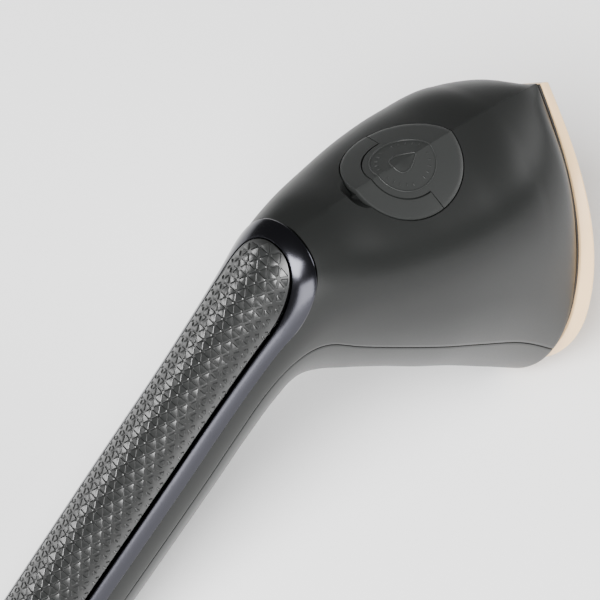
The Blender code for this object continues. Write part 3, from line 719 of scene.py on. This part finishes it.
@dataclass
class Lid:
    """Filler lid, its pull tab and the emblem on it.

    Args:
        disc: share of the radius where the tab begins.
        split: angle from forward where the tab begins.
        thick: depth of the lid and the tab below their tops.
        lift: height of the lid above the roof; tab_lift is the tab's.
        groove: angle between the tab's ends and the lid.
        swing_gap: shares between the tab's inner wall and the disc, above and below.
        ticks: places round the emblem; each sixth is left free.
        tick_span: start and length of a tick, as shares of the radius.
    """

    centre: float = -59.5
    reach_x: float = 21.0
    reach_y: float = 19.6
    disc: float = 0.66
    split: float = math.radians(84.0)
    thick: float = 2.2
    lift: float = 0.25
    tab_lift: float = 0.35
    groove: float = 0.02
    swing_gap: tuple[float, float] = (0.012, 0.10)
    ring: float = 0.535
    drop: float = 5.2
    ticks: int = 24
    tick_span: tuple[float, float] = (0.40, 0.06)

    def plan(self, angle: float, radius: float) -> tuple[float, float]:
        """Plan position at an angle from forward and a share of the radius."""
        return (self.centre + self.reach_x * radius * math.cos(angle),
                self.reach_y * radius * math.sin(angle))

    def rim(self) -> tuple[tuple[float, float], ...]:
        """Rounded rim that the lid and the tab share, as shares of the radius and drops."""
        return ((0.975, -0.02), (0.99, -0.12), (0.995, -0.35), (0.995, -self.thick))

    def turned(self, name: str, count: int, profile: tuple, start: float, stop: float,
               lift: float) -> bpy.types.Object:
        """Profile swept round the lid's middle, on the roof.

        Args:
            count: divisions from the angle start to the angle stop.
            profile: pairs of a share of the radius and a drop below the top.
            lift: height above the roof.
        """
        def place(u: float, v: float) -> Vector:
            radius, drop = profile[round(v * (len(profile) - 1))]
            return FORM.roof(*self.plan(start + (stop - start) * u, radius), lift + drop)

        return woven(name, count, len(profile) - 1, place)

    def disc_solid(self, name: str) -> bpy.types.Object:
        """The whole lid as one crowned solid with a rounded rim."""
        crown = tuple((radius, 0.0) for radius in (0.0, 0.2, 0.4, 0.6, 0.78, 0.92))
        floor = tuple((radius, -self.thick) for radius in (0.9, 0.5, 0.0))
        return self.turned(name, 96, crown + self.rim() + floor, 0.0, 2 * math.pi, self.lift)

    def crescent(self) -> bpy.types.Object:
        """The pull tab: its inner wall leans back, so that it swings clear of the disc."""
        start = self.split + self.groove
        above, below = (self.disc + gap for gap in self.swing_gap)
        crown = ((above, -0.12), (above + 0.006, -0.02), (0.72, 0.0), (0.85, 0.0), (0.94, 0.0))
        floor = ((0.86, -self.thick), (below, -self.thick), (above, -0.12))
        obj = self.turned("pull_tab_shape", 72, crown + self.rim() + floor, start, 2 * math.pi - start,
                          self.tab_lift)
        close_ends(obj)
        return obj

    def sector(self, start: float, stop: float, inner: float, outer: float) -> bpy.types.Object:
        """Cutter that covers a ring sector in plan, between two angles and two shares of the radius."""
        high, low = 15.0, -30.0
        corners = ((inner, high), (outer, high), (outer, low), (inner, low), (inner, high))

        def place(u: float, v: float) -> Vector:
            radius, height = corners[round(v * 4)]
            return Vector((*self.plan(start + (stop - start) * u, radius), height))

        obj = woven("sector", 48, 4, place)
        close_ends(obj)
        return obj

    def bead(self, path: Table, width: float, height: float, closed: bool = True) -> bpy.types.Object:
        """Raised line on the lid.

        Args:
            path: plan points.
            width: width of the line.
            height: height of the line.
            closed: whether it joins up; an open line thins towards its ends.
        """
        count = len(path) if closed else len(path) - 1

        def place(u: float, v: float) -> Vector:
            i = round(u * count)
            x, y = path[i % len(path)]
            ahead = path[(i + 1) % len(path)] if closed or i < count else path[i]
            behind = path[i - 1] if closed or i > 0 else path[i]
            dx, dy = ahead[0] - behind[0], ahead[1] - behind[1]
            size = math.hypot(dx, dy)
            taper = 1.0 if closed else math.sin(math.pi * (0.08 + 0.84 * i / count)) ** 0.4
            turn = 2 * math.pi * v
            side = width / 2 * taper * math.cos(turn)
            return FORM.roof(x - dy / size * side, y + dx / size * side,
                             self.lift + height * taper * math.sin(turn))

        obj = woven("bead", count, 8, place)
        close_ends(obj)
        return obj

    def drop_path(self, size: float, count: int = 64) -> Table:
        """Outline of a water drop that is pinched at one end."""
        points = []
        for i in range(count):
            t = 2 * math.pi * i / count
            pinch = math.sqrt(max((1 - math.sin(t)) / 2, 0.0)) ** 1.2
            points.append((self.centre - 0.5 + size * ((math.sin(t) + 0.15) * 0.95),
                           size * 0.92 * math.cos(t) * pinch))
        return points

    def circle_path(self, radius: float, count: int = 96) -> Table:
        """Circle in plan at a share of the lid's radius."""
        return [self.plan(2 * math.pi * i / count, radius) for i in range(count)]

    def emblem(self) -> bpy.types.Object:
        """Ring, ticks and a water drop, all raised lines."""
        lines = [self.bead(self.circle_path(self.ring), 0.55, 0.28),
                 self.bead(self.drop_path(self.drop), 0.6, 0.25)]
        inner, length = self.tick_span
        for i in range(self.ticks):
            if i % 6 == 0:
                continue
            angle = 2 * math.pi * i / self.ticks
            path = [self.plan(angle, inner + length * k / 4) for k in range(5)]
            lines.append(self.bead(path, 0.45, 0.2, closed=False))
        return join(lines, "lid_emblem")

    def build(self) -> None:
        """Make and dress the lid, the tab and the emblem."""
        lid = self.disc_solid("filler_lid_shape")
        carve(lid, self.sector(self.split, 2 * math.pi - self.split, self.disc - 0.008, 1.2))
        shade(lid, 32)
        finish_piece(lid, LID, "lid", "lid", "filler_lid")
        tab = self.crescent()
        shade(tab, 32)
        finish_piece(tab, LID, "pull_tab", "lid", "lid_pull_tab")
        emblem = self.emblem()
        shade(emblem, 60)
        finish_piece(emblem, LID, "lid", "lid")


@dataclass
class Shells:
    """Rear and front moulded shells with their openings.

    Args:
        wall: wall thickness.
        gap: section share that each shell stays back from the parting line.
        rim: width of the rounding of the walls' rims, in metres.
        scoop: half lengths of the finger scoop.
        holes: distance along the handle and radius of each round hole at the front.
        slot_along: distance along the handle to the lock slider.
        slot_size: size of the slider's opening, in metres.
    """

    wall: float = 2.2
    gap: float = 0.003
    rim: float = 0.0003
    scoop: Size = (5.0, 11.5, 3.0)
    holes: tuple[tuple[float, float], ...] = ((102, 5.3), (113, 2.2), (141, 3.4), (168, 3.4))
    slot_along: float = 124.0
    slot_size: Size = (0.014, 0.007, 0.017)

    def strip(self, name: str, start: Callable[[float], float], stop: Callable[[float], float],
              around: int) -> bpy.types.Object:
        """Shell wall between two section shares, all along the body."""
        def place(u: float, v: float) -> Vector:
            tau = u * FORM.last
            low, high = start(tau), stop(tau)
            return FORM.section(tau, low + (high - low) * v)

        obj = woven(name, FORM.last * 12, around, place, outward=False)
        middle = obj.data.polygons[len(obj.data.polygons) // 2]
        return self.thicken(obj, middle)

    def thicken(self, obj: bpy.types.Object, middle: bpy.types.MeshPolygon) -> bpy.types.Object:
        """Give the wall its thickness inwards, and soften its rims."""
        if middle.normal.dot(middle.center - FORM.world(CORE)) < 0:
            obj.data.flip_normals()
        apply(obj, "SOLIDIFY", thickness=self.wall * MM, offset=-1, use_even_offset=True)
        apply(obj, "BEVEL", width=self.rim, segments=2, limit_method="ANGLE", angle_limit=math.radians(70))
        return obj

    def rear(self, lid: Lid, grip: Grip) -> bpy.types.Object:
        """Rear shell: lid opening, grip window and finger scoop."""
        obj = self.strip("rear_shell_skin", lambda t: -FORM.seam(t) + self.gap,
                         lambda t: FORM.seam(t) - self.gap, 96)
        carve(obj, self.plan_cutter(lid))
        apex, share = grip.trim_apex - 0.04, grip.trim_share + 0.012
        carve(obj, grip.block("window", apex, share, 4.0, -5.0, past=6.0))
        spot = FORM.world(FORM.roof(lid.centre - lid.reach_x + 1.2, 0, -0.2))
        only(obj)
        bpy.ops.mesh.primitive_uv_sphere_add(segments=64, ring_count=32, radius=MM, location=spot,
                                             rotation=(0, FORM.angle, 0))
        ball = bpy.context.object
        ball.scale = self.scoop
        bpy.ops.object.transform_apply(location=True, rotation=True, scale=True)
        carve(obj, ball)
        return obj

    def plan_cutter(self, lid: Lid) -> bpy.types.Object:
        """Upright cutter with the lid's outline, a little larger."""
        corners = ((0.0, 20.0), (1.012, 20.0), (1.012, -30.0), (0.0, -30.0))

        def place(u: float, v: float) -> Vector:
            radius, height = corners[round(v * 3)]
            return Vector((*lid.plan(2 * math.pi * u, radius), height))

        return woven("lid_hole", 96, 3, place)

    def front(self) -> bpy.types.Object:
        """Front shell: trigger window, button, lens, slider and screw holes, and the heel's flat."""
        obj = self.strip("front_shell_skin", lambda t: FORM.seam(t) + self.gap,
                         lambda t: 4 - FORM.seam(t) - self.gap, 72)
        carve(obj, Controls().pad("window", 0.4, 4.0, -6.0))
        for along, radius in self.holes:
            carve(obj, rod(FORM.handle(along, 12), FORM.handle(along, 30), radius))
        carve(obj, self.slot())
        carve(obj, box((0.6, 0.2, 0.06), Vector((0, 0, -0.03))))
        return obj

    def slot(self) -> bpy.types.Object:
        """Round-cornered cutter for the lock slider."""
        block = box(self.slot_size, FORM.world(FORM.handle(self.slot_along, 21)), FORM.lean + FORM.angle)
        apply(block, "BEVEL", width=0.001, segments=3)
        return block

    def build(self, lid: Lid, grip: Grip) -> None:
        """Make and dress both shells."""
        rear = self.rear(lid, grip)
        shade(rear, 24)
        finish_piece(rear, SHELL, "housing", "shell", "rear_shell")
        front = self.front()
        shade(front, 30)
        finish_piece(front, SHELL, "housing", "shell", "front_shell")


@dataclass
class Plate:
    """Steam plate with its holes, and the gasket behind it.

    Args:
        flare: width at the working face, as a factor.
        count: divisions round the outline.
        length: length of the body's outline at the plate.
        middle: height that the end faces close on.
        hole_rows: height of each row and the holes to each side of its middle one.
    """

    back: float = 2.0
    front: float = 6.0
    flare: float = 1.08
    count: int = 144
    length: float = 131.0
    middle: float = -66.0
    hole_rows: tuple[tuple[int, int], ...] = ((-38, 1), (-52, 2), (-66, 2), (-80, 2), (-94, 1))
    hole_pitch: float = 11.0
    hole_radius: float = 1.8

    def ring(self, u: float, x: float, wide: float, top: float, bottom: float) -> Vector:
        """Point of the plate's outline at depth x."""
        share = 4 * u - (4 if u > 0.5 else 0)
        point = FORM.section(0, share)
        return Vector((x, point.y * wide, top + point.z * (top - bottom) / self.length))

    def solid(self, name: str, profile: tuple) -> bpy.types.Object:
        """Solid through outline rings that close on a point at each end."""
        def place(u: float, v: float) -> Vector:
            x, wide, top, bottom, share = profile[round(v * (len(profile) - 1))]
            point = self.ring(u, x, wide, top, bottom)
            return Vector((x, point.y * share, self.middle + (point.z - self.middle) * share))

        return woven(name, self.count, len(profile) - 1, place)

    def pins(self) -> bpy.types.Object:
        """Cutter for all the steam holes."""
        low, high, sides = self.back - 3, self.front + 3, 20
        spots = [(j * self.hole_pitch, row) for row, half in self.hole_rows for j in range(-half, half + 1)]
        return join([rod(Vector((low, y, z)), Vector((high, y, z)), self.hole_radius, sides)
                     for y, z in spots], "hole_pins")

    def build(self) -> None:
        """Make and dress the plate and the gasket."""
        b, f, w = self.back, self.front, self.flare
        seat, face = (b, 0.985, -1.6, -127.3), (f, w * 0.985, -3.4, -125.6)
        plate = self.solid("steam_plate_casting", (
            (*seat, 0.0), (*seat, 0.99), (b + 0.15, 0.995, -1.4, -127.3, 1.0),
            (b + 0.6, 1.0, -1.3, -127.2, 1.0), (b + 1.8, 1.035, -1.8, -126.8, 1.0),
            (f - 1.0, w, -2.4, -126.4, 1.0), (f - 0.45, w, -2.6, -126.2, 1.0),
            (f - 0.12, w * 0.994, -3.0, -125.9, 1.0), (*face, 1.0), (*face, 0.9), (*face, 0.0)))
        carve(plate, self.pins())
        shade(plate, 28)
        finish_piece(plate, GOLD, "housing", "plate", "steam_plate")
        band = ((0.9, 0.975, -1.2, -127.7), (1.7, 0.975, -1.4, -127.5), (1.7, 0.86, -10, -121),
                (0.9, 0.86, -10, -121), (0.9, 0.975, -1.2, -127.7))
        gasket = woven("gasket_ring", self.count, 4, lambda u, v: self.ring(u, *band[round(v * 4)]))
        shade(gasket, 40)
        finish_piece(gasket, RUBBER, "housing", "gasket", "plate_gasket")


@dataclass
class Controls:
    """Trigger, button, slider, lens, end cap and gland.

    Args:
        half: section share of the trigger's half width.
        station_run: millimetres of growth to a station or share.
        power: squareness of the trigger's outline, 1 for round.
    """

    top_tau: float = 8.35
    low_tau: float = 9.75
    half: float = 0.42
    station_run: float = 22.0
    power: float = 0.75

    def pad(self, name: str, grow: float, high: float, low: float) -> bpy.types.Object:
        """Round-ended pad on the handle's front.

        Args:
            grow: how much larger than the trigger it is.
            high: lift of the outer face; low is the inner face's.
        """
        extra = grow / self.station_run
        middle, reach = (self.top_tau + self.low_tau) / 2, (self.low_tau - self.top_tau) / 2 + extra
        wide = self.half + extra
        profile = ((0, high), (0.5, high), (0.93, high), (1.0, high - 0.3), (1.0, low), (0, low))

        def place(u: float, v: float) -> Vector:
            angle = 2 * math.pi * u
            radius, lift = profile[round(v * 5)]
            c = math.copysign(abs(math.cos(angle)) ** self.power, math.cos(angle))
            s = math.copysign(abs(math.sin(angle)) ** self.power, math.sin(angle))
            point = FORM.section(middle - reach * 0.985 * radius * c, 2 - wide * radius * s)
            return point + FORM.front * lift

        return woven(name, 64, 5, place)

    def build(self) -> None:
        """Make and dress the controls and the handle's end."""
        trigger = self.pad("trigger_pad", 0.0, 1.0, -3.2)
        shade(trigger, 30)
        finish_piece(trigger, LID, "trigger", "lid", "steam_trigger")
        for node, name, bevel, finish, body, slot in (
                ("power_button", "power_button_cap", 0.5, LID, "button", "lid"),
                ("lock_slider", "lock_slider_cap", 0.3, LID, "slider", "lid"),
                ("end_cap", "end_cap_shape", 0.5, SHELL, "housing", "shell"),
                ("cord_gland", "cord_gland_shape", 0.5, RUBBER, "housing", "gasket"),
                ("indicator_lens", "indicator_lens_cap", 0.4, LENS, "housing", "lens")):
            piece = refined(node, name, bevel)
            finish_piece(piece, finish, body, slot, node)


class Inside:
    """The CAD nodes that stay as they are and only get their finish."""

    def build(self) -> None:
        """Give every CAD node its slot's finish."""
        slots = {part["node"]: part["material_slot"] for part in frame["record"]["subparts"]}
        for name, obj in frame["nodes"].items():
            finish = BY_SLOT[slots[name]].material()
            for slot in obj.material_slots:
                slot.material = finish


@dataclass
class Studio:
    """Floor, lights and camera.

    Args:
        tip_right: how far the shell's tip lies to the right of the aim, in millimetres.
        tip_up: how far it lies above the aim, in millimetres.
        view_right: the view's right in the design frame; view_up is its up.
        sky: strength of the even light from all round.
    """

    tip_right: float = 79.0
    tip_up: float = 72.3
    distance: float = 2.2
    lens: float = 396.0
    view_right: Size = (0.746, -0.650, 0.1445)
    view_up: Size = (0.406, 0.615, 0.675)
    grey: float = 0.95
    sky: float = 0.22
    target: Size = (0.0, 0.0, 0.08)

    def floor(self) -> None:
        """Pale floor that everything stands on."""
        unselect()
        bpy.ops.mesh.primitive_plane_add(size=8.0, location=(0, 0, -0.0002))
        plane = bpy.context.object
        plane.name = "floor"
        mat = bpy.data.materials.new("pale_floor")
        mat.use_nodes = True
        shader = mat.node_tree.nodes["Principled BSDF"]
        shader.inputs["Base Color"].default_value = (self.grey, self.grey, self.grey, 1)
        shader.inputs["Roughness"].default_value = 0.9
        plane.data.materials.append(mat)

    def light(self, name: str, place: Size, size: float, power: float) -> None:
        """Square softbox that looks at the steamer."""
        lamp = bpy.data.lights.new(name, "AREA")
        lamp.size = size
        lamp.energy = power
        obj = bpy.data.objects.new(name, lamp)
        obj.location = place
        obj.rotation_euler = (Vector(self.target) - Vector(place)).to_track_quat("-Z", "Y").to_euler()
        bpy.context.scene.collection.objects.link(obj)

    def camera(self) -> None:
        """Long lens at the viewing angle, from above and behind on the near side."""
        right = FORM.direction(Vector(self.view_right)).normalized()
        up = FORM.direction(Vector(self.view_up))
        up = (up - right * up.dot(right)).normalized()
        back = right.cross(up)
        aim = FORM.world(Vector((0, 0, 0))) - (right * self.tip_right + up * self.tip_up) * MM
        lens = bpy.data.cameras.new("camera")
        lens.lens = self.lens
        lens.sensor_width = 36.0
        lens.clip_start, lens.clip_end = 0.05, 20.0
        cam = bpy.data.objects.new("camera", lens)
        cam.matrix_world = Matrix.Translation(aim + back * self.distance) @ Matrix(
            (right, up, back)).transposed().to_4x4()
        bpy.context.scene.collection.objects.link(cam)
        bpy.context.scene.camera = cam

    def build(self) -> None:
        """Set the whole stage."""
        self.floor()
        world = bpy.data.worlds.new("studio")
        world.use_nodes = True
        world.node_tree.nodes["Background"].inputs["Color"].default_value = (1, 1, 1, 1)
        world.node_tree.nodes["Background"].inputs["Strength"].default_value = self.sky
        bpy.context.scene.world = world
        self.light("near_box", (-0.55, -1.5, 0.46), 0.85, 26.0)
        self.light("back_box", (-1.0, -0.6, 1.9), 1.2, 135.0)
        self.light("far_strip", (-0.85, 1.2, 0.38), 0.4, 10.0)
        self.light("front_box", (1.5, -0.6, 0.8), 0.8, 16.0)
        self.camera()


def main() -> None:
    """Build every sub-assembly in order."""
    logging.basicConfig(level=logging.INFO)
    lid, grip = Lid(), Grip()
    Inside().build()
    Shells().build(lid, grip)
    Plate().build()
    grip.build()
    lid.build()
    Controls().build()
    Studio().build()


if __name__ == "__main__":
    main()
